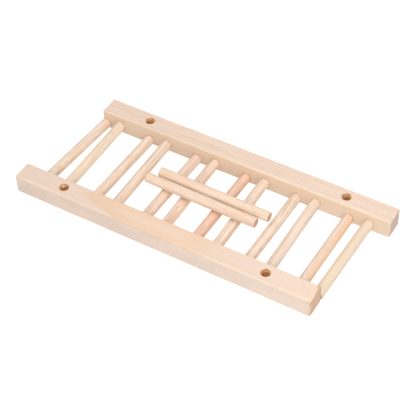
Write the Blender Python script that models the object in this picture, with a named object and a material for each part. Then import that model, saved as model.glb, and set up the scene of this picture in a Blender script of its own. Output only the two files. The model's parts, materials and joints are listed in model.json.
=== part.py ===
"""Ladder toss frame: two square rails, six pairs of round rungs and two loose pegs.

Metres, +Z up. The origin lies midway between the rails, on the surface that the frame rests on.
+X runs along the rails, and +Y runs from the front rail to the rear one.

Both rails are drilled to one pattern. The front rail is the rear one turned half a turn about +Z,
and the pattern is shorter than the rail, so the two rails stand a little out of line. Each rung
sits low in one rail and high in the other, because low and high holes take turns along a rail.
"""

import math

import bmesh
import bpy
from mathutils import Matrix, Vector

RAIL_LENGTH = 0.400
RAIL_SIDE = 0.0260
RAIL_SPACING = 0.1508         # between the centre lines of the two rails
RAIL_EDGE = 0.0012            # rounding of the rail's long and end edges

PAIR_COUNT = 6
PAIR_PITCH = 0.0695           # from one pair of rungs to the next
PAIR_WIDTH = 0.0258           # between the two rungs of a pair
END_INSET = 0.0043            # the outermost hole is moved in by this much from the rail's end
LOW_HOLE = 0.0074             # height of the first hole of a pair
HIGH_HOLE = 0.0114            # height of the second hole of a pair

RUNG_RADIUS = 0.0065
SPIGOT_RADIUS = 0.00275       # the turned-down end of a rung, hidden in the rail
SPIGOT_LENGTH = 0.0120
SHORT_SPIGOT = 0.0060         # where the spigot would otherwise reach a peg hole
SPIGOT_CHAMFER = 0.0005

PEG_HOLE_RADIUS = 0.0064
PEG_HOLE_INSET = 0.0630       # from each end of the rail to the hole's centre
PEG_RADIUS = 0.00625
PEG_LENGTH = 0.1515
PEG_EDGE = 0.0010             # rounding of the peg's ends
PEG_PLACES = {"front_peg": (0.0007, -0.0103), "rear_peg": (0.0100, 0.0056)}
PEG_TURN = -0.9               # degrees about +Z: the pegs lie slightly askew to the rails

FIT_GAP = 0.0003              # clearance between pieces that touch or fit together
CUT_MARGIN = 0.001            # how far a cutter runs past the face it opens
ROUND_SEGMENTS = 24
PEG_HOLE_SEGMENTS = 32

RUNG_COUNT = 2 * PAIR_COUNT
STAGGER = RAIL_LENGTH - (PAIR_COUNT - 1) * PAIR_PITCH - PAIR_WIDTH
REAR_RAIL_CENTRE = Vector((STAGGER / 2, RAIL_SPACING / 2, RAIL_SIDE / 2))
INNER_FACE = (RAIL_SPACING - RAIL_SIDE) / 2

CREAM = (0.78, 0.60, 0.47)
ROSE = (0.76, 0.56, 0.43)
STRAW = (0.79, 0.61, 0.44)
AMBER = (0.70, 0.44, 0.30)
PEACH = (0.80, 0.56, 0.41)
RUNG_COLOURS = (CREAM, STRAW, CREAM, CREAM, ROSE, ROSE, AMBER, CREAM, ROSE, CREAM, STRAW, STRAW)
WOOD_ROUGHNESS = 0.62


def clear_scene():
    for item in list(bpy.data.objects):
        bpy.data.objects.remove(item, do_unlink=True)


def wood_material(name, colour):
    material = bpy.data.materials.new(name)
    material.use_nodes = True
    shader = material.node_tree.nodes["Principled BSDF"]
    shader.inputs["Base Color"].default_value = (*colour, 1.0)
    shader.inputs["Roughness"].default_value = WOOD_ROUGHNESS
    shader.inputs["Metallic"].default_value = 0.0
    return material


def add_object(name, mesh, colour=None):
    item = bpy.data.objects.new(name, mesh)
    bpy.context.scene.collection.objects.link(item)
    if colour is not None:
        mesh.materials.append(wood_material(name + "_wood", colour))
    return item


def add_turned_body(bm, profile, placement, segments=ROUND_SEGMENTS):
    """Add a closed body of revolution about placement's Z, from (height, radius) pairs in order."""
    rings = []
    for height, radius in profile:
        angles = (math.tau * step / segments for step in range(segments))
        points = (Vector((radius * math.cos(a), radius * math.sin(a), height)) for a in angles)
        rings.append([bm.verts.new(placement @ point) for point in points])
    for lower, upper in zip(rings, rings[1:]):
        for step in range(segments):
            following = (step + 1) % segments
            bm.faces.new((lower[step], lower[following], upper[following], upper[step]))
    bm.faces.new(reversed(rings[0]))
    bm.faces.new(rings[-1])


def turned_mesh(name, profile):
    bm = bmesh.new()
    add_turned_body(bm, profile, Matrix.Identity(4))
    mesh = bpy.data.meshes.new(name)
    bm.to_mesh(mesh)
    bm.free()
    mesh.shade_smooth()
    mesh.set_sharp_from_angle(angle=math.radians(35))
    return mesh


def aligned(origin, direction):
    """A placement at origin whose Z axis points along direction."""
    return Matrix.Translation(origin) @ direction.to_track_quat("Z", "Y").to_matrix().to_4x4()


def hole_distance(index):
    """Distance of a rung hole from the end of the rail where the pattern starts."""
    distance = (index // 2) * PAIR_PITCH + (index % 2) * PAIR_WIDTH
    return max(distance, END_INSET)


def hole_height(index):
    return HIGH_HOLE if index % 2 else LOW_HOLE


def rung_ends(index):
    """Where a rung's axis meets the inner faces of the front and rear rails."""
    pattern_start = REAR_RAIL_CENTRE.x - RAIL_LENGTH / 2
    turned_index = RUNG_COUNT - 1 - index
    front = Vector((-pattern_start - hole_distance(turned_index), -INNER_FACE, hole_height(turned_index)))
    rear = Vector((pattern_start + hole_distance(index), INNER_FACE, hole_height(index)))
    return front, rear


def spigot_length(index):
    """Full length, or short where the spigot would break into one of the rail's peg holes."""
    distance = hole_distance(index)
    reach = SPIGOT_RADIUS + FIT_GAP + PEG_HOLE_RADIUS
    peg_holes = (PEG_HOLE_INSET, RAIL_LENGTH - PEG_HOLE_INSET)
    blocked = any(abs(distance - hole) < reach for hole in peg_holes)
    return SHORT_SPIGOT if blocked else SPIGOT_LENGTH


def rail_blank_mesh():
    bm = bmesh.new()
    size = Matrix.Diagonal((RAIL_LENGTH, RAIL_SIDE, RAIL_SIDE, 1.0))
    bmesh.ops.create_cube(bm, size=1.0, matrix=size)
    mesh = bpy.data.meshes.new("rail_blank")
    bm.to_mesh(mesh)
    bm.free()
    return mesh


def rail_holes_mesh():
    """The bodies cut from a rail, in the rear rail's own axes: rung sockets and peg holes."""
    bm = bmesh.new()
    for index in range(RUNG_COUNT):
        front, rear = rung_ends(index)
        placement = aligned(rear - REAR_RAIL_CENTRE, (rear - front).normalized())
        radius = SPIGOT_RADIUS + FIT_GAP
        depth = spigot_length(index) + FIT_GAP
        add_turned_body(bm, ((-CUT_MARGIN, radius), (depth, radius)), placement)
    for side in (-1, 1):
        hole = Matrix.Translation((side * (RAIL_LENGTH / 2 - PEG_HOLE_INSET), 0, 0))
        reach = RAIL_SIDE / 2 + CUT_MARGIN
        profile = ((-reach, PEG_HOLE_RADIUS), (reach, PEG_HOLE_RADIUS))
        add_turned_body(bm, profile, hole, PEG_HOLE_SEGMENTS)
    mesh = bpy.data.meshes.new("rail_holes")
    bm.to_mesh(mesh)
    bm.free()
    return mesh


def build_rail(name, half_turn):
    """A rail with its holes. half_turn puts it on the front side, end for end."""
    rail = add_object(name, rail_blank_mesh(), CREAM)
    turn = Matrix.Rotation(math.pi if half_turn else 0.0, 4, "Z")
    rail.matrix_world = turn @ Matrix.Translation(REAR_RAIL_CENTRE)
    holes = add_object(name + "_holes", rail_holes_mesh())
    holes.parent = rail
    holes.hide_render = True
    holes.display_type = "WIRE"
    rounding = rail.modifiers.new("rounded_edges", "BEVEL")
    rounding.width = RAIL_EDGE
    rounding.segments = 2
    drilling = rail.modifiers.new("holes", "BOOLEAN")
    drilling.object = holes
    drilling.operation = "DIFFERENCE"
    drilling.solver = "EXACT"


def rung_profile(length, front_spigot, rear_spigot):
    """Outline of a rung about its axis, with its shoulders at 0 and at length."""
    front_tip = -front_spigot
    rear_tip = length + rear_spigot
    return (
        (front_tip, SPIGOT_RADIUS - SPIGOT_CHAMFER),
        (front_tip + SPIGOT_CHAMFER, SPIGOT_RADIUS),
        (0.0, SPIGOT_RADIUS),
        (0.0, RUNG_RADIUS),
        (length, RUNG_RADIUS),
        (length, SPIGOT_RADIUS),
        (rear_tip - SPIGOT_CHAMFER, SPIGOT_RADIUS),
        (rear_tip, SPIGOT_RADIUS - SPIGOT_CHAMFER),
    )


def build_rung(index):
    """A round rung whose shoulders stop just short of the rails, with a spigot at each end."""
    front, rear = rung_ends(index)
    span = rear - front
    along = span.normalized()
    lean = math.sqrt(1.0 - along.y ** 2)
    shoulder_gap = (FIT_GAP + RUNG_RADIUS * lean) / along.y
    front_spigot = spigot_length(RUNG_COUNT - 1 - index) + shoulder_gap
    rear_spigot = spigot_length(index) + shoulder_gap
    profile = rung_profile(span.length - 2 * shoulder_gap, front_spigot, rear_spigot)
    name = f"rung_{index + 1:02d}"
    rung = add_object(name, turned_mesh(name, profile), RUNG_COLOURS[index])
    rung.matrix_world = aligned(front + along * shoulder_gap, along)


def resting_height(x, y):
    """Height of a peg's axis where it lies across the highest rungs, with its middle at x, y."""
    highest = 0.0
    slope = math.tan(math.radians(PEG_TURN))
    for index in range(RUNG_COUNT):
        front, rear = rung_ends(index)
        span = rear - front
        share = (y - front.y + slope * (front.x - x)) / (span.y - slope * span.x)
        crossing = front.lerp(rear, share)
        if abs(crossing.x - x) < PEG_LENGTH / 2:
            highest = max(highest, crossing.z)
    return highest + RUNG_RADIUS + FIT_GAP + PEG_RADIUS


def build_peg(name, x, y):
    """A loose round peg that lies across the rungs, nearly along the rails."""
    half = PEG_LENGTH / 2
    soft = PEG_EDGE * (1.0 - math.sqrt(0.5))
    end = ((0.0, PEG_RADIUS - PEG_EDGE), (soft, PEG_RADIUS - soft), (PEG_EDGE, PEG_RADIUS))
    profile = [(rise - half, radius) for rise, radius in end]
    profile += [(half - rise, radius) for rise, radius in reversed(end)]
    peg = add_object(name, turned_mesh(name, profile), PEACH)
    peg.location = (x, y, resting_height(x, y))
    peg.rotation_euler = (0.0, math.radians(90), math.radians(PEG_TURN))


def build_frame():
    clear_scene()
    build_rail("front_rail", half_turn=True)
    build_rail("rear_rail", half_turn=False)
    for index in range(RUNG_COUNT):
        build_rung(index)
    for name, (x, y) in PEG_PLACES.items():
        build_peg(name, x, y)


build_frame()
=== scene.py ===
"""Ladder toss frame in pale bare wood: detailed rails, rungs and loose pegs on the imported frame.

Metres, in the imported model's own frame: +X along the rails, +Y to the rear rail, +Z up.
Every wooden piece is built with its grain along its own local X axis, so that one wood material
works for all of them, with each piece's own tones and figure.
"""

import json
import math
import random
from collections import namedtuple

import bmesh
import bpy
from mathutils import Matrix, Vector


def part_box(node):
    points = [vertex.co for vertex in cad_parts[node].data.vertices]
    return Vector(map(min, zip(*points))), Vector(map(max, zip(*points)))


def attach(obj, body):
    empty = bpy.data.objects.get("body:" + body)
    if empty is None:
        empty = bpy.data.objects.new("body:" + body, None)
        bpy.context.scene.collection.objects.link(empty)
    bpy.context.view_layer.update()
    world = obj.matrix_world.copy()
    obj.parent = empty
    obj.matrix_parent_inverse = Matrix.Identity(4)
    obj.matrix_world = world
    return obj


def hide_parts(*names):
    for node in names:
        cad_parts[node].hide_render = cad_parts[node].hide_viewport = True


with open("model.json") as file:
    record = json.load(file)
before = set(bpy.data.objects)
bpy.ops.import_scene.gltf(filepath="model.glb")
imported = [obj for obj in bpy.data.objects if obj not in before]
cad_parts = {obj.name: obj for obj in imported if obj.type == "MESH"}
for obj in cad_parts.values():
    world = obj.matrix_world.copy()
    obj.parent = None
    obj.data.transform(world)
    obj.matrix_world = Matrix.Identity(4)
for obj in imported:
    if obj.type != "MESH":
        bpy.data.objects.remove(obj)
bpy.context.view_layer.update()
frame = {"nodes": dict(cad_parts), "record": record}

# ---------------------------------------------------------------- shapes
SHARP_DEGREES = 40            # edges sharper than this stay sharp in the shading
RAIL_EDGE = 0.0013            # rounding of a rail's long edges
RAIL_EDGE_WANDER = 0.0004     # how much that rounding varies along the rail
LEAST_ROUNDING = 0.0001       # the least of it that is left at the rail's ends
EDGE_STEPS = 5
RAIL_END_ROUNDING = RAIL_EDGE * 0.6
RAIL_END_STEPS = 3
RAIL_STATIONS = 72
RIM_ROUNDING = 0.0003         # softened rim of a peg hole
RIM_STEPS = 4
RIM_FLARE = 0.8               # how fast a peg hole's cutter widens outside the rail
RIM_TEAR = 0.00025            # how uneven the rim is
RIM_TEAR_INWARD = RIM_ROUNDING * 0.6
HOLE_SEGMENTS = 72
HOLE_FUZZ = 0.0004            # raised fibres inside a peg hole, which make it look narrower
CUT_MARGIN = 0.002
SOCKET_GAP = 0.0003
SOCKET_SEGMENTS = 32
TURNED_SEGMENTS = 72
TURNED_STATIONS = 40
TURNING_WANDER = 0.00005      # how far a rung or peg is from a true cylinder
OVAL_RADIUS = 0.0065          # the radius at which a peg is out of round by that much
SHOULDER_ROUNDING = 0.0006
SHOULDER_STEPS = 4
SHOULDER_GAP = 0.00018        # between a rung's shoulder and the rail
SPIGOT_CHAMFER = 0.0005
PEG_ROUNDING = 0.0011
PEG_STEPS = 6

# ---------------------------------------------------------------- camera
CAMERA_LENS = 105.06
CAMERA_SENSOR = 36.0
CAMERA_AZIMUTH = 31.50
CAMERA_ELEVATION = 46.09
CAMERA_ROLL = -1.52
CAMERA_DISTANCE = 1.4608
AIM_RIGHT = 0.00385
AIM_UP = -0.00091
CLIP_NEAR = 0.05
CLIP_FAR = 50.0

# ---------------------------------------------------------------- light
# name: (direction to the light, distance, size, power in watts)
LIGHTS = {
    "left": ((-1.0, 0.1, 0.9), 2.2, 1.4, 4.8),
    "near_right": ((1.0, -0.3, 0.7), 1.2, 0.8, 0.6),
    "near_front": ((0.5, -0.95, 0.6), 1.15, 0.8, 4.1),
    "near_over": ((0.4, -0.1, 1.0), 1.2, 0.8, 5.0),
    "camera_side": ((0.37, -0.6, 0.72), 2.2, 1.4, 2.3),
}
SKY_ABOVE = 0.65
SKY_BELOW = 0.90
HORIZON_BAND = 0.1            # half the band of directions in which one goes into the other
WHITE = (1.0, 1.0, 1.0)
FLOOR_HALF = 6.0
FLOOR_TONE = 0.45
FLOOR_GLOW = 0.72
FLOOR_ROUGHNESS = 0.9


# ================================================================ meshes
def smooth_wander(rng, count, reach):
    """A slow random curve as a function of 0..1, the sum of a few sines."""
    waves = []
    for _ in range(count):
        waves.append((rng.uniform(0.5, 1.0), rng.uniform(2.0, 9.0), rng.uniform(0, math.tau)))
    total = sum(w[0] for w in waves)
    return lambda t: reach * sum(a * math.sin(math.tau * f * t + p) for a, f, p in waves) / total


def mesh_from(bm, name):
    """A mesh made from bm, with its faces turned outwards."""
    bmesh.ops.recalc_face_normals(bm, faces=bm.faces)
    mesh = bpy.data.meshes.new(name)
    bm.to_mesh(mesh)
    bm.free()
    return mesh


def shade(mesh):
    mesh.shade_smooth()
    mesh.set_sharp_from_angle(angle=math.radians(SHARP_DEGREES))
    return mesh


def bridge(bm, rings):
    """Skin a run of closed rings with quads and cap both ends."""
    count = len(rings[0])
    for near, far in zip(rings, rings[1:]):
        for i in range(count):
            j = (i + 1) % count
            bm.faces.new((near[i], near[j], far[j], far[i]))
    bm.faces.new(list(reversed(rings[0])))
    bm.faces.new(rings[-1])


def bar_stations(length, rounding, steps, margin, count):
    """(position, inset) pairs along a bar with rounded ends, and no inset between them."""
    start = []
    for i in range(steps + 1):
        angle = math.pi / 2 * i / steps
        start.append((rounding * (1 - math.cos(angle)), rounding * (1 - math.sin(angle))))
    middle = [(margin + (length - 2 * margin) * i / count, 0.0) for i in range(1, count)]
    end = [(length - position, inset) for position, inset in reversed(start)]
    return start + middle + end


def rail_section(half, inset, roundings):
    """Corner points of a square section with four rounded corners, pulled in by inset."""
    points = []
    for corner, radius in enumerate(roundings):
        middle = half - radius
        cx = middle * (1 if corner in (0, 3) else -1)
        cy = middle * (1 if corner in (0, 1) else -1)
        reach = max(radius - inset, LEAST_ROUNDING)
        for step in range(EDGE_STEPS + 1):
            angle = corner * math.pi / 2 + math.pi / 2 * step / EDGE_STEPS
            points.append((cx + reach * math.cos(angle), cy + reach * math.sin(angle)))
    return points


def rail_mesh(name, length, half, seed):
    """A square bar along X whose rounded arrises vary a little along its length."""
    rng = random.Random(seed)
    wander = [smooth_wander(rng, 5, RAIL_EDGE_WANDER) for _ in range(4)]
    stations = bar_stations(length, RAIL_END_ROUNDING, RAIL_END_STEPS, RAIL_EDGE, RAIL_STATIONS)
    bm = bmesh.new()
    rings = []
    for position, inset in stations:
        roundings = [RAIL_EDGE + w(position / length) for w in wander]
        section = rail_section(half, inset, roundings)
        rings.append([bm.verts.new((position - length / 2, y, z)) for y, z in section])
    bridge(bm, rings)
    return shade(mesh_from(bm, name))


# A chip out of a peg hole's upper rim: its direction and width in radians, and its depth.
Chip = namedtuple("Chip", "direction width depth")


def hole_profile(radius, half):
    """(height, radius, share of the rim's tears) of a through hole with softened rims."""
    lower = [(-half - CUT_MARGIN, radius + RIM_ROUNDING + CUT_MARGIN * RIM_FLARE, 1.0)]
    for step in range(RIM_STEPS + 1):
        angle = math.pi / 2 * step / RIM_STEPS
        height = -half + RIM_ROUNDING - RIM_ROUNDING * math.cos(angle)
        lower.append((height, radius + RIM_ROUNDING * (1 - math.sin(angle)), math.cos(angle)))
    return lower + [(-height, reach, share) for height, reach, share in reversed(lower)]


def hole_cutter(bm, place, radius, half, rng, chip=None):
    """A through hole along Z with softened, slightly torn rims."""
    tear = smooth_wander(rng, 6, RIM_TEAR)
    rings = []
    for z, r, share in hole_profile(radius, half):
        ring = []
        for i in range(HOLE_SEGMENTS):
            t = i / HOLE_SEGMENTS
            angle = math.tau * t
            extra = share * tear(t)
            if chip and z > 0:
                away = (angle - chip.direction + math.pi) % math.tau - math.pi
                extra += share * chip.depth * math.exp(-(away / chip.width) ** 2)
            reach = r + max(extra, -RIM_TEAR_INWARD)
            point = Vector((reach * math.cos(angle), reach * math.sin(angle), z))
            ring.append(bm.verts.new(place @ point))
        rings.append(ring)
    bridge(bm, rings)


def socket_cutter(bm, place, radius, depth):
    rings = []
    for x in (-CUT_MARGIN, depth):
        ring = []
        for i in range(SOCKET_SEGMENTS):
            angle = math.tau * i / SOCKET_SEGMENTS
            point = Vector((x, radius * math.cos(angle), radius * math.sin(angle)))
            ring.append(bm.verts.new(place @ point))
        rings.append(ring)
    bridge(bm, rings)


def bar_outline(length, radius, rounding, steps):
    """(position, radius) pairs along a round bar with rounded ends."""
    stations = bar_stations(length, rounding, steps, rounding, TURNED_STATIONS)
    return [(position, radius - inset) for position, inset in stations]


def peg_mesh(name, outline, seed):
    """A body of revolution about X from (x, radius) pairs, very slightly out of true."""
    rng = random.Random(seed)
    oval = [smooth_wander(rng, 4, TURNING_WANDER) for _ in range(2)]
    low, high = outline[0][0], outline[-1][0]
    bm = bmesh.new()
    rings = []
    for x, radius in outline:
        t = (x - low) / (high - low)
        ring = []
        for i in range(TURNED_SEGMENTS):
            angle = math.tau * i / TURNED_SEGMENTS
            reach = radius * (1 + oval[0](t) / OVAL_RADIUS * math.cos(2 * angle)) + oval[1](t)
            ring.append(bm.verts.new((x, reach * math.cos(angle), reach * math.sin(angle))))
        rings.append(ring)
    bridge(bm, rings)
    return shade(mesh_from(bm, name))


def plane_crossing(matrix, plane_y, y, z):
    """Local x where the line through local (y, z) along X meets the world plane at plane_y."""
    start = matrix @ Vector((0.0, y, z))
    step = matrix.to_3x3() @ Vector((1.0, 0.0, 0.0))
    return (plane_y - start.y) / step.y


def rung_profile(rung, length):
    """(place, radius, snug) of a rung's rings. Snug ones lie between the rails' inner faces.

    The place is the distance from the low shoulder.
    """
    low_tip, high_tip = (tip - rung.shoulders[0] for tip in rung.tips)
    bar = bar_outline(length, rung.radius, SHOULDER_ROUNDING, SHOULDER_STEPS)
    return [
        (low_tip, rung.spigot - SPIGOT_CHAMFER, False),
        (low_tip + SPIGOT_CHAMFER, rung.spigot, False),
        (0.0, rung.spigot, True),
        *((place, radius, True) for place, radius in bar),
        (length, rung.spigot, True),
        (high_tip - SPIGOT_CHAMFER, rung.spigot, False),
        (high_tip, rung.spigot - SPIGOT_CHAMFER, False),
    ]


def rung_mesh(name, rung, matrix, faces, seed):
    """A round rung between two upright faces: its shoulders lie flat on them, its spigots go on."""
    rng = random.Random(seed)
    oval = [smooth_wander(rng, 4, TURNING_WANDER) for _ in range(2)]
    length = rung.shoulders[1] - rung.shoulders[0]
    bm = bmesh.new()
    rings = []
    for place, radius, snug in rung_profile(rung, length):
        ring = []
        share = place / length
        for i in range(TURNED_SEGMENTS):
            angle = math.tau * i / TURNED_SEGMENTS
            reach = radius + oval[0](share) * math.cos(2 * angle) + oval[1](share)
            y, z = reach * math.cos(angle), reach * math.sin(angle)
            x = rung.shoulders[0] + place
            if snug:
                low = plane_crossing(matrix, faces[0] + SHOULDER_GAP, y, z)
                high = plane_crossing(matrix, faces[1] - SHOULDER_GAP, y, z)
                x = low + (high - low) * share
            ring.append(bm.verts.new((x, y, z)))
        rings.append(ring)
    bridge(bm, rings)
    return shade(mesh_from(bm, name))


# ================================================================ reading the frame
Turned = namedtuple("Turned", "origin axis shoulders tips radius spigot")
AXIS_ROUNDS = 60              # power iterations that find a round body's axis
FULL_WIDTH = 0.99             # wider than this share of the radius is the body itself
SPIGOT_WIDTH = 0.6            # narrower than this share of the radius is a spigot


def measure_turned(node):
    """The axis, shoulders, tips and radii of a CAD body of revolution, from its vertices."""
    points = [v.co.copy() for v in frame["nodes"][node].data.vertices]
    centre = sum(points, Vector()) / len(points)
    axis = Vector((0.0, 1.0, 0.0)) if node.startswith("rung") else Vector((1.0, 0.0, 0.0))
    for _ in range(AXIS_ROUNDS):
        pulls = ((p - centre) * (p - centre).dot(axis) for p in points)
        axis = sum(pulls, Vector()).normalized()
    heights = [(p - centre).dot(axis) for p in points]
    radii = [((p - centre) - axis * h).length for p, h in zip(points, heights)]
    radius = max(radii)
    wide = [h for h, r in zip(heights, radii) if r > radius * FULL_WIDTH]
    narrow = [r for r in radii if r < radius * SPIGOT_WIDTH]
    tips = (min(heights), max(heights))
    return Turned(centre, axis, (min(wide), max(wide)), tips, radius, max(narrow, default=0.0))


def placement(origin, axis):
    """A matrix whose X runs along axis, with Z as near to up as it can be."""
    side = Vector((0, 0, 1)).cross(axis).normalized()
    up = axis.cross(side)
    turn = Matrix((axis, side, up)).transposed().to_4x4()
    return Matrix.Translation(origin) @ turn


def peg_holes(node):
    """Centres of a rail's peg holes in x, from the record's openings."""
    found = []
    for opening in frame["record"]["physics"]["openings"]:
        if opening["name"].startswith(node) and opening["name"].endswith("peg_hole"):
            low, high = opening["box_m"]
            found.append((low[0] + high[0]) / 2)
    return sorted(found)


def hole_radius(node, x):
    """Radius of the peg hole at x in a CAD rail: the distance of the nearest vertices."""
    low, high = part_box(node)
    centre = Vector((x, (low.y + high.y) / 2))
    return min((v.co.xy - centre).length for v in frame["nodes"][node].data.vertices)


RUNGS = [f"rung_{i:02d}" for i in range(1, 13)]
TURNED = {name: measure_turned(name) for name in RUNGS + ["front_peg", "rear_peg"]}
INNER_FACES = (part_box("front_rail")[1].y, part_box("rear_rail")[0].y)
RUNG_SPAN = INNER_FACES[1] - INNER_FACES[0]
RAIL_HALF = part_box("front_rail")[1].z / 2
REAR_HOLES = peg_holes("rear_rail")
HOLE_X = (REAR_HOLES[1] - REAR_HOLES[0]) / 2
HOLE_RADIUS = hole_radius("rear_rail", REAR_HOLES[0]) - HOLE_FUZZ


# ================================================================ node graphs
class Graph:
    """Shorthand for adding and linking shader nodes."""

    def __init__(self, name):
        self.material = bpy.data.materials.new(name)
        self.material.use_nodes = True
        self.tree = self.material.node_tree
        self.shader = self.tree.nodes["Principled BSDF"]

    def set(self, node, values):
        for key, value in values.items():
            if isinstance(value, bpy.types.NodeSocket):
                self.tree.links.new(value, node.inputs[key])
            elif value is not None:
                node.inputs[key].default_value = value

    def node(self, kind, values=None, **settings):
        made = self.tree.nodes.new(kind)
        for key, value in settings.items():
            setattr(made, key, value)
        self.set(made, values or {})
        return made

    def math(self, operation, a, b=None, clamp=False):
        made = self.node("ShaderNodeMath", {0: a, 1: b}, operation=operation, use_clamp=clamp)
        return made.outputs[0]

    def without(self, value):
        """1 minus value."""
        return self.math("SUBTRACT", 1.0, value)

    def smooth(self, value, low, high):
        """0 at low, 1 at high, smooth between."""
        ends = {0: value, 1: low, 2: high}
        return self.node("ShaderNodeMapRange", ends, interpolation_type="SMOOTHSTEP").outputs[0]

    def length(self, x, y, z):
        vector = self.node("ShaderNodeCombineXYZ", {0: x, 1: y, 2: z}).outputs[0]
        made = self.node("ShaderNodeVectorMath", {0: vector}, operation="LENGTH")
        return made.outputs["Value"]

    def stretch(self, vector, factors, shift):
        terms = {0: vector, 1: factors, 2: shift}
        return self.node("ShaderNodeVectorMath", terms, operation="MULTIPLY_ADD").outputs[0]

    def noise(self, vector, detail, roughness=0.5):
        values = {"Vector": vector, "Scale": 1.0, "Detail": detail, "Roughness": roughness}
        return self.node("ShaderNodeTexNoise", values).outputs["Fac"]

    def line_noise(self, value, detail, roughness=0.5):
        """Noise of one number."""
        values = {"W": value, "Scale": 1.0, "Detail": detail, "Roughness": roughness}
        return self.node("ShaderNodeTexNoise", values, noise_dimensions="1D").outputs["Fac"]

    def ramp(self, value, stops):
        made = self.node("ShaderNodeValToRGB", {0: value})
        elements = made.color_ramp.elements
        while len(elements) < len(stops):
            elements.new(0.5)
        for element, (position, level) in zip(elements, stops):
            element.position = position
            element.color = (level, level, level, 1.0)
        return made.outputs[0]

    def blend(self, share, a, b, mode="MIX"):
        values = {0: share, 6: a, 7: b}
        return self.node("ShaderNodeMix", values, data_type="RGBA", blend_type=mode).outputs[2]


def rgba(colour, factor=1.0):
    return (*(level * factor for level in colour), 1.0)


# ================================================================ wood
# light, dark     colours of the early wood and of the darkest lines
# pith, gap       where the growth rings are centred in local (y, z), and how far apart they are
# rings           strength of the rings; side_rings is the share of it on the faces towards Y
# waver, sweep    how wavy the rings are, and how far they swing sideways towards the low end
# streaks, lines  strength of broad streaks (streak_width wide) and of fine lengthwise lines
# mottle          strength of small blotches
# flecks, blush   strength of short dark flecks and of patches of blush_colour
# end_colour      colour of the cut ends
# features        marks on this piece, laid one over another; holes go over the end grain as well
# seed            shifts all the noise, so that each piece has a figure of its own
WOOD_FIELDS = (
    "light dark pith gap rings side_rings waver sweep streaks streak_width lines mottle flecks "
    "blush blush_colour end_colour features holes seed"
)
Wood = namedtuple("Wood", WOOD_FIELDS)
RING_PROFILE = [(0.0, 0.0), (0.22, 0.20), (0.48, 0.70), (0.68, 1.0), (0.86, 0.75), (1.0, 0.0)]
SWEEP_SLOPE = 2.5             # the rings start to swing at x = 0.5 / SWEEP_SLOPE
SWEEP_POWER = 3.0
SHIFT_PER_SEED = (1.37, 0.71, 2.13)
FIBRE_TONE = 0.35
FLECK_SHADE = 0.66
END_SHARE = 0.85
END_RINGS = (0.60, 0.8)       # strength, and how dark: a share of end_colour
END_PORES = (0.40, 0.62)
END_BLOTCHES = (0.35, 0.70)
WOOD_IOR = 1.40
BUMP_STRENGTH = 0.35
BUMP_DISTANCE = 0.00012
WARM_TINT = (1.0, 0.965, 0.915)
COOL_TINT = (0.985, 0.975, 0.985)
SCRATCH_TINT = (0.86, 0.85, 0.84)

# Noise in the wood: waves per metre in x, y and z, detail, roughness, and the noise levels at
# which the pattern is 0 and 1.
Pattern = namedtuple("Pattern", "scales detail roughness low high")
LINE = Pattern((11.0, 520.0, 520.0), 2.0, 0.6, 0.34, 0.66)
FLECK = Pattern((160.0, 1500.0, 1500.0), 1.0, 0.5, 0.62, 0.76)
BLUSH = Pattern((16.0, 60.0, 60.0), 2.0, 0.5, 0.40, 0.62)
MOTTLE = Pattern((75.0, 330.0, 330.0), 3.0, 0.6, 0.35, 0.65)
TINT = Pattern((30.0, 260.0, 260.0), 3.0, 0.6, 0.35, 0.65)
PORE = Pattern((300.0, 900.0, 900.0), 3.0, 0.7, 0.46, 0.62)
BLOTCH = Pattern((200.0, 200.0, 200.0), 3.0, 0.6, 0.42, 0.60)
TORN = Pattern((180.0, 180.0, 300.0), 3.0, 0.7, 0.42, 0.58)
PATCHY = Pattern((35.0, 60.0, 60.0), 2.0, 0.5, 0.35, 0.6)
FIBRE_SCALES = (40.0, 1400.0, 1400.0)


def pattern(g, at, kind):
    noise = g.noise(g.stretch(at["point"], kind.scales, at["shift"]), kind.detail, kind.roughness)
    return g.smooth(noise, kind.low, kind.high)


def wood_rings(g, wood, at):
    """Growth rings round a pith line; sweep swings them sideways towards the piece's low end."""
    wobble = g.noise(g.stretch(at["point"], (7.0, 30.0, 30.0), at["shift"]), 2.0)
    wobble = g.math("MULTIPLY", g.math("ADD", wobble, -0.5), wood.gap * wood.waver)
    share = g.math("SUBTRACT", 0.5, g.math("MULTIPLY", at["x"], SWEEP_SLOPE))
    swing = g.math("POWER", g.math("MAXIMUM", share, 0.0), SWEEP_POWER)
    swing = g.math("MULTIPLY", swing, wood.sweep)
    away_y = g.math("ADD", g.math("ADD", at["y"], -wood.pith[0]), swing)
    distance = g.length(0.0, away_y, g.math("ADD", at["z"], -wood.pith[1]))
    number = g.math("MULTIPLY", distance, 1.0 / wood.gap)
    uneven = g.line_noise(g.math("MULTIPLY", number, 0.35), 1.0)
    distance = g.math("ADD", distance, g.math("MULTIPLY", uneven, wood.gap * 0.5))
    phase = g.math("MULTIPLY", g.math("ADD", distance, wobble), 1.0 / wood.gap)
    weight = g.math("MULTIPLY", g.line_noise(g.math("ADD", number, 7.0), 0.0), 0.5)
    weight = g.math("ADD", weight, 0.75)
    return g.math("MULTIPLY", g.ramp(g.math("FRACT", phase), RING_PROFILE), weight)


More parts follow.
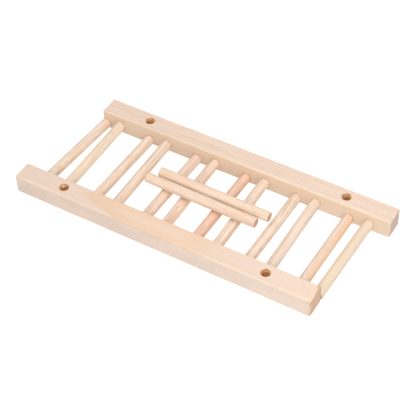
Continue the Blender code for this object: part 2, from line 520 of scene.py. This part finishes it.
def wood_places(g, wood):
    """The place on the piece, the way its surface faces, and the patterns used more than once."""
    where = g.node("ShaderNodeTexCoord")
    x, y, z = g.node("ShaderNodeSeparateXYZ", {0: where.outputs["Object"]}).outputs
    at = {
        "point": where.outputs["Object"],
        "x": x,
        "y": y,
        "z": z,
        "shift": tuple(wood.seed * step for step in SHIFT_PER_SEED),
        "facing": g.node("ShaderNodeSeparateXYZ", {0: where.outputs["Normal"]}).outputs,
    }
    at["ring"] = wood_rings(g, wood, at)
    at["fibre"] = g.noise(g.stretch(at["point"], FIBRE_SCALES, at["shift"]), 3.0, 0.65)
    at["line"] = pattern(g, at, LINE)
    at["fleck"] = pattern(g, at, FLECK)
    at["pore"] = pattern(g, at, PORE)
    at["side"] = g.smooth(g.math("ABSOLUTE", at["facing"][1]), 0.7, 0.95)
    at["end"] = g.smooth(g.math("ABSOLUTE", at["facing"][0]), 0.6, 0.95)
    return at


def wood_tone(g, wood, at):
    """How far the wood goes from its light to its dark colour."""
    across = 1 / wood.streak_width
    streak = pattern(g, at, Pattern((6.0, across, across), 3.0, 0.55, 0.38, 0.64))
    shown = g.without(g.math("MULTIPLY", at["side"], 1.0 - wood.side_rings))
    tone = g.math("MULTIPLY", g.math("MULTIPLY", at["ring"], shown), wood.rings)
    tone = g.math("ADD", tone, g.math("MULTIPLY", streak, wood.streaks))
    for part, strength in ((at["line"], wood.lines), (pattern(g, at, MOTTLE), wood.mottle)):
        tone = g.math("ADD", tone, g.math("MULTIPLY", g.math("ADD", part, -0.5), strength))
    fibre = g.math("MULTIPLY", g.math("ADD", at["fibre"], -0.5), FIBRE_TONE)
    return g.math("ADD", tone, fibre, clamp=True)


def wood_colour(g, wood, at):
    blush = g.math("MULTIPLY", pattern(g, at, BLUSH), wood.blush)
    colour = g.blend(blush, rgba(wood.light), rgba(wood.blush_colour))
    tint = g.blend(pattern(g, at, TINT), rgba(COOL_TINT), rgba(WARM_TINT))
    colour = g.blend(1.0, colour, tint, "MULTIPLY")
    colour = g.blend(wood_tone(g, wood, at), colour, rgba(wood.dark))
    fleck = g.math("MULTIPLY", at["fleck"], wood.flecks)
    return g.blend(fleck, colour, rgba(wood.dark, FLECK_SHADE))


def end_grain(g, wood, at, base):
    """The darker cut ends, with their rings, open pores and blotches."""
    cut = rgba(wood.end_colour)
    blotch = pattern(g, at, BLOTCH)
    marks = ((at["ring"], END_RINGS), (at["pore"], END_PORES), (blotch, END_BLOTCHES))
    for mark, (strength, darkness) in marks:
        cut = g.blend(g.math("MULTIPLY", mark, strength), cut, rgba(wood.end_colour, darkness))
    return g.blend(g.math("MULTIPLY", at["end"], END_SHARE), base, cut)


def wood_surface(g, at, colour, heights):
    """Raised fibres and rings, sunk flecks and pores, and the heights of the marks."""
    height = g.math("MULTIPLY", at["fibre"], 0.6)
    height = g.math("ADD", height, g.math("MULTIPLY", at["ring"], 0.25))
    height = g.math("ADD", height, g.math("MULTIPLY", at["fleck"], -0.5))
    pores = g.math("MULTIPLY", g.math("MULTIPLY", at["pore"], at["end"]), -1.0)
    height = g.math("ADD", height, pores)
    for extra in heights:
        height = g.math("ADD", height, extra)
    values = {"Strength": BUMP_STRENGTH, "Distance": BUMP_DISTANCE, "Height": height}
    bump = g.node("ShaderNodeBump", values).outputs[0]
    rough = g.math("ADD", g.math("MULTIPLY", at["fibre"], 0.20), 0.48)
    g.set(g.shader, {"Base Color": colour, "Roughness": rough, "Normal": bump, "IOR": WOOD_IOR})


def wood_material(name, wood):
    g = Graph(name)
    at = wood_places(g, wood)
    colour = wood_colour(g, wood, at)
    heights = []
    for feature in wood.features:
        colour, height = feature(g, colour, at)
        if height is not None:
            heights.append(height)
    colour = end_grain(g, wood, at, colour)
    for feature in wood.holes:
        colour, height = feature(g, colour, at)
        heights.append(height)
    wood_surface(g, at, colour, heights)
    return g.material


# ---------------------------------------------------------------- marks on some pieces
# Each of these makes a feature. It lays a mark over the colour so far, and gives the new colour
# and the height to add to the surface, or None.
def ragged(g, at, factors, reach):
    """Slow noise about 0, for making an outline uneven."""
    noise = g.noise(g.stretch(at["point"], factors, at["shift"]), 3.0, 0.6)
    return g.math("MULTIPLY", g.math("ADD", noise, -0.5), reach)


def painted_edge_highlight(half, colour, share):
    """Painted highlight: the long edges lightened in colour, as if their rounding caught the light.
    """
    def feature(g, base, at):
        near = g.math("MINIMUM", g.math("ABSOLUTE", at["y"]), g.math("ABSOLUTE", at["z"]))
        near = g.math("ADD", near, ragged(g, at, (30.0, 300.0, 300.0), 0.0016))
        mask = g.smooth(near, half - 0.0024, half - 0.0009)
        return g.blend(g.math("MULTIPLY", mask, share), base, rgba(colour)), None
    return feature


def drilled_holes(distance, radius, light, dark):
    """Browner wood inside the peg holes, scored round by the drill, with painted shade that darkens
    the walls deeper inside.
    """
    def feature(g, base, at):
        off = g.math("ADD", g.math("ABSOLUTE", at["x"]), -distance)
        away = g.length(off, at["y"], 0.0)
        near = g.without(g.smooth(away, radius + 0.0001, radius + 0.0004))
        torn = g.math("MULTIPLY", pattern(g, at, TORN), 0.55)
        score = g.smooth(g.line_noise(g.math("MULTIPLY", at["z"], 480.0), 2.0, 0.6), 0.44, 0.56)
        rough = g.math("ADD", torn, g.math("MULTIPLY", score, 0.55))
        depth = g.math("SUBTRACT", RAIL_HALF, g.math("ABSOLUTE", at["z"]))
        # Painted shade: deeper in the hole, the wall is pushed towards the dark colour.
        painted_depth_shade = g.math("MULTIPLY", g.smooth(depth, 0.004, 0.012), 0.45)
        rough = g.math("SUBTRACT", rough, painted_depth_shade, clamp=True)
        wall = g.blend(rough, rgba(dark), rgba(light))
        height = g.math("MULTIPLY", g.math("MULTIPLY", near, rough), 3.0)
        return g.blend(near, base, wall), height
    return feature


def tongue(nose, spread, middle, fade, colour, share, low, rim=None):
    """A tongue of other wood above z = low, with an outline of the colour rim if one is given.

    Its outline is the parabola x = nose + spread * (y - middle) ** 2, and it fades out from
    x = fade[0] to fade[1].
    """
    def feature(g, base, at):
        off = g.math("ADD", at["y"], -middle)
        edge = g.math("ADD", g.math("MULTIPLY", g.math("MULTIPLY", off, off), spread), nose)
        edge = g.math("ADD", edge, ragged(g, at, (22.0, 160.0, 160.0), 0.040))
        past = g.math("SUBTRACT", at["x"], edge)
        mask = g.math("MULTIPLY", g.smooth(past, -0.007, 0.012), share)
        mask = g.math("MULTIPLY", mask, g.without(g.smooth(at["x"], *fade)))
        mask = g.math("MULTIPLY", mask, g.smooth(at["z"], low, low + 0.004))
        tone = rgba(colour)
        if rim:
            tone = g.blend(g.smooth(past, 0.004, 0.035), rgba(rim), rgba(colour))
        return g.blend(mask, base, tone), None
    return feature


def stained_end(start, colour, share, fade=0.006, slant=0.25):
    """A stain at the end at high x, which fades in from x = start on.

    It starts earlier, by slant for each metre of y, towards the corner at high y.
    """
    def feature(g, base, at):
        along = g.math("ADD", at["x"], ragged(g, at, (60.0, 150.0, 150.0), 0.008))
        along = g.math("ADD", along, g.math("MULTIPLY", at["y"], slant))
        mask = g.math("MULTIPLY", g.smooth(along, start, start + fade), share)
        return g.blend(mask, base, rgba(colour)), None
    return feature


def side_face(colour, share, plain=None, rise=0.0):
    """Another tone on the face towards low Y.

    It weakens to about a third from x = plain[0] to plain[1], and by rise for each metre upwards.
    """
    def feature(g, base, at):
        mask = g.smooth(g.math("MULTIPLY", at["facing"][1], -1.0), 0.55, 0.9)
        # rise shifts the tone with height; on the rear rail's tan, it paints shade low on the inner
        # face.
        strength = g.math("SUBTRACT", share, g.math("MULTIPLY", at["z"], rise * share))
        if plain:
            along = g.math("ADD", at["x"], ragged(g, at, (10.0, 60.0, 90.0), 0.10))
            weaker = g.math("MULTIPLY", g.smooth(along, *plain), 0.65)
            strength = g.math("MULTIPLY", strength, g.without(weaker))
        mask = g.math("MULTIPLY", mask, strength, clamp=True)
        return g.blend(mask, base, rgba(colour)), None
    return feature


def saw_marks(angle, gap, share):
    """Fine slanting scratches on the sides of a rail, from sawing and sanding."""
    def feature(g, base, at):
        run = g.math("MULTIPLY", at["x"], math.cos(math.radians(angle)) / gap)
        rise = g.math("MULTIPLY", at["z"], math.sin(math.radians(angle)) / gap)
        line = g.math("SUBTRACT", run, rise)
        uneven = g.noise(g.stretch(at["point"], (25.0, 60.0, 60.0), at["shift"]), 3.0)
        noise = g.line_noise(g.math("ADD", line, g.math("MULTIPLY", uneven, 3.0)), 3.0, 0.7)
        scratch = g.math("MULTIPLY", g.smooth(noise, 0.42, 0.62), at["side"])
        scratch = g.math("MULTIPLY", scratch, pattern(g, at, PATCHY))
        darker = g.blend(1.0, base, rgba(SCRATCH_TINT), "MULTIPLY")
        colour = g.blend(g.math("MULTIPLY", scratch, share), base, darker)
        return colour, g.math("MULTIPLY", scratch, -0.5)
    return feature


def turned_angle(g, at):
    """Angle round a rung's or peg's axis in degrees: 0 on top, rising towards the right."""
    angle = g.math("ARCTAN2", g.math("MULTIPLY", at["y"], -1.0), at["z"])
    return g.math("MULTIPLY", angle, 180.0 / math.pi)


def stripe(angle, width, colour, share, start=-0.5, end=1.5, waver=14.0, slant=0.0):
    """A stripe of other wood along a rung or peg, at an angle round it.

    start and end are shares of the rung's length from its front or left end. slant turns the
    stripe by that many degrees from one end of the rung to the other.
    """
    def feature(g, base, at):
        along = g.math("ADD", g.math("MULTIPLY", at["x"], 1.0 / RUNG_SPAN), 0.5)
        turn = g.math("ADD", turned_angle(g, at), ragged(g, at, (18.0, 90.0, 90.0), waver))
        turn = g.math("SUBTRACT", turn, g.math("MULTIPLY", g.math("ADD", along, -0.5), slant))
        away = g.math("ABSOLUTE", g.math("ADD", turn, -angle))
        mask = g.math("MULTIPLY", g.without(g.smooth(away, width * 0.25, width)), share)
        lines = g.math("ADD", g.math("MULTIPLY", at["line"], 0.5), 0.6)
        mask = g.math("MULTIPLY", mask, lines, clamp=True)
        uneven = g.math("ADD", along, ragged(g, at, (60.0, 300.0, 300.0), 0.16))
        mask = g.math("MULTIPLY", mask, g.smooth(uneven, start - 0.045, start + 0.015))
        mask = g.math("MULTIPLY", mask, g.without(g.smooth(uneven, end - 0.015, end + 0.045)))
        return g.blend(mask, base, rgba(colour)), None
    return feature


# ================================================================ each piece's wood
# Colour of the painted highlight on the rails' long edges.
HIGHLIGHT_GOLD = (0.90, 0.72, 0.53)
HONEY = (0.80, 0.58, 0.38)
ORANGE = (0.80, 0.58, 0.43)
TAN = (0.68, 0.49, 0.35)
TORN_BROWN = (0.54, 0.33, 0.21)
RED_BROWN = (0.70, 0.42, 0.28)
HOLE_LIGHT = (1.0, 0.80, 0.50)
# HOLE_DARK is also the colour of the painted shade deep in a peg hole.
HOLE_DARK = (0.58, 0.22, 0.06)
PALE_LINE = (0.92, 0.81, 0.68)
BROWN_LINE = (0.62, 0.36, 0.21)
WARM_BROWN = (0.76, 0.50, 0.33)
APRICOT = (0.83, 0.58, 0.40)
PINK = (0.84, 0.64, 0.54)
YELLOW = (0.85, 0.70, 0.51)
BROAD = 60.0                  # a stripe this wide covers what is seen of a rung from above
SEED_STEP = 1.7
PEG_HOLES = drilled_holes(HOLE_X, HOLE_RADIUS, HOLE_LIGHT, HOLE_DARK)
RIM_CHIP = Chip(direction=math.radians(215), width=0.22, depth=0.0009)


def toward(angle, distance):
    """(y, z) of a point round a rung's axis, at an angle in degrees from its top to the right."""
    turn = math.radians(angle)
    return (-math.sin(turn) * distance, math.cos(turn) * distance)


FRONT_RAIL = Wood(
    light=(0.76, 0.61, 0.51), dark=(0.70, 0.53, 0.42), pith=(0.02, -0.12), gap=0.0050,
    rings=0.25, side_rings=1.0, waver=1.2, sweep=0.0, streaks=0.15, streak_width=0.008,
    lines=0.35, mottle=0.12, flecks=0.15, blush=0.35, blush_colour=(0.77, 0.60, 0.49),
    end_colour=(0.79, 0.51, 0.35),
    features=(
        side_face((0.845, 0.68, 0.575), 0.85, (0.20, -0.30)),
        # Painted highlight along the front rail's long edges.
        painted_edge_highlight(RAIL_HALF, HIGHLIGHT_GOLD, 0.38),
        tongue(-0.108, 150.0, 0.004, (0.042, 0.082), (0.76, 0.54, 0.38), 0.80,
               low=RAIL_HALF - 0.0045, rim=(0.74, 0.50, 0.34)),
        tongue(-0.062, 1380.0, 0.001, (0.012, 0.048), (0.78, 0.615, 0.495), 0.9,
               low=RAIL_HALF - 0.0020),
        stained_end(0.190, ORANGE, 0.85),
        stained_end(0.1978, TORN_BROWN, 0.75, fade=0.002, slant=0.10),
        saw_marks(32.0, 0.0013, 0.9),
    ),
    holes=(PEG_HOLES,), seed=3.0)
REAR_RAIL = Wood(
    light=(0.85, 0.705, 0.59), dark=(0.65, 0.465, 0.36), pith=(-0.10, 0.01), gap=0.0034,
    rings=0.70, side_rings=0.06, waver=0.35, sweep=0.029, streaks=0.10, streak_width=0.008,
    lines=0.20, mottle=0.12, flecks=0.15, blush=0.3, blush_colour=(0.83, 0.66, 0.53),
    end_colour=(0.71, 0.51, 0.41),
    features=(
        side_face(HONEY, 0.35, rise=-60.0),
        # Partly the wood's own tan and partly painted shade: stronger towards the bottom of the
        # inner face, where shade falls low between the rails.
        side_face(TAN, 0.55, (-0.02, 0.16), 62.0),
        # Painted highlight along the rear rail's long edges.
        painted_edge_highlight(RAIL_HALF, HIGHLIGHT_GOLD, 0.35),
    ),
    holes=(PEG_HOLES,), seed=11.0)

RUNG = Wood(
    light=(0.83, 0.70, 0.595), dark=(0.66, 0.46, 0.33), pith=toward(27, 0.05), gap=0.0030,
    rings=0.30, side_rings=1.0, waver=2.0, sweep=0.0, streaks=0.30, streak_width=0.0035,
    lines=0.90, mottle=0.55, flecks=0.35, blush=0.45, blush_colour=(0.83, 0.66, 0.53),
    end_colour=(0.68, 0.44, 0.28), features=(), holes=(), seed=20.0)
STRAW = dict(light=(0.82, 0.70, 0.57), blush_colour=(0.82, 0.68, 0.51), dark=(0.72, 0.56, 0.41))
ROSE = dict(light=(0.85, 0.68, 0.57), blush_colour=(0.84, 0.65, 0.53), dark=(0.68, 0.46, 0.34))
LINED = dict(lines=1.3, streaks=0.15, mottle=0.3)

# node: (a word for the rung's tone, not used, what differs from RUNG)
RUNG_WOODS = {
    "rung_01": ("cream", dict(features=(
        stripe(45, 34, APRICOT, 0.6, 0.34, 0.60),
        stripe(84, 18, BROWN_LINE, 0.7, 0.08, 0.22),
        stripe(84, 18, BROWN_LINE, 0.7, 0.32, 0.52),
        stripe(80, 12, WARM_BROWN, 0.5, 0.82, 0.96),
        stripe(4, 22, PALE_LINE, 0.4),
        stripe(27, BROAD, APRICOT, 0.6, 0.95)))),
    "rung_02": ("straw", dict(**STRAW, features=(
        stripe(36, 30, (0.83, 0.62, 0.43), 0.7, 0.08, 0.22),
        stripe(28, 14, YELLOW, 0.6, 0.28, 0.44),
        stripe(60, 12, WARM_BROWN, 0.35, 0.30, 0.75)))),
    "rung_03": ("cream", dict(features=(
        stripe(30, 34, APRICOT, 0.5, 0.07, 0.15),
        stripe(30, 30, APRICOT, 0.65, 0.32, 0.38),
        stripe(20, 34, APRICOT, 0.75, 0.60, 0.67),
        stripe(64, 10, BROWN_LINE, 0.35, 0.52, 0.78),
        stripe(30, 26, PINK, 0.6, 0.80, 0.84)))),
    "rung_04": ("cream", dict(**LINED, features=(
        stripe(66, 20, APRICOT, 0.5),
        stripe(88, 16, WARM_BROWN, 0.9, 0.10, 0.55),
        stripe(84, 14, BROWN_LINE, 0.6, 0.62, 0.76)))),
    "rung_05": ("rose", dict(**ROSE, features=(
        stripe(6, 7, BROWN_LINE, 0.35, 0.76, 0.98),
        stripe(48, 6, BROWN_LINE, 0.35, 0.72, 0.95),
        stripe(84, 14, WARM_BROWN, 0.6, 0.10, 0.38)))),
    "rung_06": ("rose", dict(**ROSE, features=(
        stripe(34, 12, PALE_LINE, 0.7, 0.25, 0.28),
        stripe(10, 12, PALE_LINE, 0.7, 0.31, 0.34),
        stripe(76, 26, WARM_BROWN, 0.5),
        stripe(50, 14, APRICOT, 0.5, 0.05, 0.40)))),
    "rung_07": ("amber", dict(
        light=(0.83, 0.60, 0.47), dark=(0.68, 0.41, 0.28), blush_colour=(0.81, 0.55, 0.41),
        features=(
            stripe(88, 20, (0.64, 0.31, 0.17), 0.6),
            stripe(27, BROAD, RED_BROWN, 0.5, 0.80, 0.81),
            stripe(27, BROAD, RED_BROWN, 0.5, 0.85, 0.86)))),
    "rung_08": ("cream", dict(light=(0.85, 0.70, 0.58), features=(
        stripe(24, 22, PALE_LINE, 0.5),
        stripe(72, 12, BROWN_LINE, 0.5),
        stripe(-20, 9, BROWN_LINE, 0.35)))),
    "rung_09": ("rose", dict(light=(0.82, 0.69, 0.565), streaks=0.2, features=(
        stripe(-20, 18, WARM_BROWN, 0.4, -0.5, 0.14),
        stripe(20, 16, PINK, 0.5, 0.40, 0.46),
        stripe(40, 18, PINK, 0.5, 0.76, 0.84)))),
    "rung_10": ("cream", dict(**LINED, light=(0.78, 0.66, 0.555), features=(
        stripe(20, 8, YELLOW, 0.6, 0.40, slant=-60.0),
        stripe(44, 8, PALE_LINE, 0.5, 0.35, slant=-60.0),
        stripe(68, 8, YELLOW, 0.4, 0.45, slant=-60.0)))),
    "rung_11": ("straw", dict(light=(0.80, 0.66, 0.56), features=(
        stripe(54, 46, (0.79, 0.51, 0.30), 1.0, waver=6.0),
        stripe(50, 6, PALE_LINE, 0.4, waver=6.0),
        stripe(0, 30, PINK, 0.4)))),
    "rung_12": ("straw", dict(
        light=(0.77, 0.63, 0.50), blush_colour=(0.77, 0.62, 0.46), dark=(0.70, 0.54, 0.39),
        rings=0.2, streaks=0.15, lines=0.3, mottle=0.2)),
}
PEG = RUNG._replace(
    light=(0.83, 0.67, 0.54), dark=(0.74, 0.54, 0.40), blush_colour=(0.83, 0.64, 0.49),
    end_colour=(0.68, 0.40, 0.26))
FRONT_PEG = PEG._replace(seed=51.0, features=(
    stripe(30, 30, APRICOT, 0.7, -0.12, -0.05),
    stripe(40, 14, APRICOT, 0.8, 0.14, 0.20)))
REAR_PEG = PEG._replace(seed=57.0, light=(0.83, 0.66, 0.53), features=(
    # Painted light: a pale band along the peg's front and lower side, standing in for the bounce
    # light there.
    stripe(84, 36, (0.90, 0.74, 0.59), 0.7, waver=6.0),))


# ================================================================ building the pieces
def piece(name, mesh, matrix, body, material):
    made = bpy.data.objects.new(name, mesh)
    bpy.context.scene.collection.objects.link(made)
    made.matrix_world = matrix
    mesh.materials.append(material)
    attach(made, body)
    return made


def smooth_flats(made):
    """Keep the flat faces flat in the shading, beside the rounded edges."""
    weighting = made.modifiers.new("flat_faces", "WEIGHTED_NORMAL")
    weighting.keep_sharp = True
    weighting.weight = 100


def apply_boolean(made, cutter_mesh):
    cutter = bpy.data.objects.new(made.name + "_cutter", cutter_mesh)
    bpy.context.scene.collection.objects.link(cutter)
    cutter.matrix_world = made.matrix_world
    drill = made.modifiers.new("drill", "BOOLEAN")
    drill.object = cutter
    drill.operation = "DIFFERENCE"
    drill.solver = "EXACT"
    bpy.context.view_layer.update()
    evaluated = made.evaluated_get(bpy.context.evaluated_depsgraph_get())
    cut = bpy.data.meshes.new_from_object(evaluated)
    made.modifiers.remove(drill)
    made.data = cut
    cut.name = made.name
    bpy.data.objects.remove(cutter)
    shade(cut)


def rail_cutter(node, centre, half, seed, chips):
    """What is cut from a rail, in its own axes: the peg holes and a socket for each rung."""
    rng = random.Random(seed)
    bm = bmesh.new()
    for index, x in enumerate(peg_holes(node)):
        place = Matrix.Translation((x - centre.x, 0, 0))
        hole_cutter(bm, place, HOLE_RADIUS, half, rng, chips.get(index))
    inward = 1 if centre.y > 0 else -1
    for name in RUNGS:
        rung = TURNED[name]
        shoulder = rung.origin + rung.axis * rung.shoulders[1 if inward > 0 else 0]
        tip = rung.tips[1] - rung.shoulders[1] if inward > 0 else rung.shoulders[0] - rung.tips[0]
        place = placement(shoulder - centre, rung.axis * inward)
        socket_cutter(bm, place, rung.spigot + SOCKET_GAP, tip + SOCKET_GAP)
    return mesh_from(bm, node + "_cutter")


def build_rail(node, slot, wood, seed, cut_seed, chips):
    """chips gives, by the number of the peg hole from the left, a chip out of its rim."""
    low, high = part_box(node)
    centre = (low + high) / 2
    half = (high.y - low.y) / 2
    mesh = rail_mesh(node, high.x - low.x, half, seed)
    material = wood_material(slot, wood)
    place = Matrix.Translation(centre)
    made = piece(node + "_timber", mesh, place, "frame", material)
    apply_boolean(made, rail_cutter(node, centre, half, cut_seed, chips))
    smooth_flats(made)
    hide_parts(node)


def build_rung(node, wood, seed):
    rung = TURNED[node]
    place = placement(rung.origin, rung.axis)
    mesh = rung_mesh(node, rung, place, INNER_FACES, seed)
    material = wood_material(node + "_wood", wood)
    made = piece(node + "_dowel", mesh, place, "frame", material)
    smooth_flats(made)
    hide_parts(node)


def build_peg(node, body, wood, seed):
    peg = TURNED[node]
    low, high = peg.tips
    outline = bar_outline(high - low, peg.radius, PEG_ROUNDING, PEG_STEPS)
    mesh = peg_mesh(node, [(x + low, radius) for x, radius in outline], seed)
    material = wood_material(node + "_wood", wood)
    place = placement(peg.origin, peg.axis)
    made = piece(node + "_dowel", mesh, place, body, material)
    smooth_flats(made)
    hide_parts(node)


# ================================================================ floor, light, camera
def build_floor():
    bm = bmesh.new()
    bmesh.ops.create_grid(bm, x_segments=2, y_segments=2, size=FLOOR_HALF)
    mesh = bpy.data.meshes.new("floor")
    bm.to_mesh(mesh)
    bm.free()
    floor = bpy.data.objects.new("floor", mesh)
    bpy.context.scene.collection.objects.link(floor)
    g = Graph("floor_paper")
    g.set(g.shader, {
        "Base Color": rgba([FLOOR_TONE] * 3),
        "Roughness": FLOOR_ROUGHNESS,
        "Emission Color": rgba(WHITE),
        "Emission Strength": FLOOR_GLOW,
    })
    mesh.materials.append(g.material)
    floor.visible_diffuse = False
    floor.visible_glossy = False


def area_light(name, direction, distance, size, power):
    light = bpy.data.lights.new(name, "AREA")
    light.shape = "SQUARE"
    light.size = size
    light.energy = power
    made = bpy.data.objects.new(name, light)
    made.location = Vector(direction).normalized() * distance
    made.rotation_euler = Vector(direction).to_track_quat("Z", "Y").to_euler()
    bpy.context.scene.collection.objects.link(made)


def build_camera():
    azimuth = math.radians(CAMERA_AZIMUTH)
    elevation = math.radians(CAMERA_ELEVATION)
    roll = math.radians(CAMERA_ROLL)
    right = Vector((math.cos(azimuth), math.sin(azimuth), 0))
    level = math.cos(elevation)
    back = Vector((math.sin(azimuth) * level, -math.cos(azimuth) * level, math.sin(elevation)))
    up = back.cross(right)
    rolled_right = right * math.cos(roll) + up * math.sin(roll)
    rolled_up = up * math.cos(roll) - right * math.sin(roll)
    aim = rolled_right * AIM_RIGHT + rolled_up * AIM_UP
    camera = bpy.data.cameras.new("camera")
    camera.lens = CAMERA_LENS
    camera.sensor_width = CAMERA_SENSOR
    camera.clip_start = CLIP_NEAR
    camera.clip_end = CLIP_FAR
    made = bpy.data.objects.new("camera", camera)
    turn = Matrix((rolled_right, rolled_up, back)).transposed().to_4x4()
    made.matrix_world = Matrix.Translation(aim + back * CAMERA_DISTANCE) @ turn
    bpy.context.scene.collection.objects.link(made)
    bpy.context.scene.camera = made


def build_world():
    """White studio surroundings: one level from above, and another from below, as off a table."""
    world = bpy.data.worlds.new("studio")
    bpy.context.scene.world = world
    world.use_nodes = True
    tree = world.node_tree
    background = tree.nodes["Background"]
    where = tree.nodes.new("ShaderNodeTexCoord")
    parts = tree.nodes.new("ShaderNodeSeparateXYZ")
    level = tree.nodes.new("ShaderNodeMapRange")
    tree.links.new(where.outputs["Generated"], parts.inputs[0])
    tree.links.new(parts.outputs[2], level.inputs[0])
    levels = (-HORIZON_BAND, HORIZON_BAND, SKY_BELOW, SKY_ABOVE)
    for index, value in enumerate(levels, start=1):
        level.inputs[index].default_value = value
    tree.links.new(level.outputs[0], background.inputs["Strength"])
    background.inputs["Color"].default_value = rgba(WHITE)


# ================================================================ the scene
build_rail("front_rail", "front_rail_wood", FRONT_RAIL, 1, 51, {1: RIM_CHIP})
build_rail("rear_rail", "rear_rail_wood", REAR_RAIL, 2, 52, {})
for number, (node, (tone_name, changes)) in enumerate(RUNG_WOODS.items()):
    wood = RUNG._replace(seed=RUNG.seed + number * SEED_STEP)._replace(**changes)
    build_rung(node, wood, 30 + number)
build_peg("front_peg", "front_loose_peg", FRONT_PEG, 61)
build_peg("rear_peg", "rear_loose_peg", REAR_PEG, 62)
build_floor()
for light_name, light_setup in LIGHTS.items():
    area_light(light_name, *light_setup)
build_world()
build_camera()
bpy.context.scene.view_settings.view_transform = "Standard"
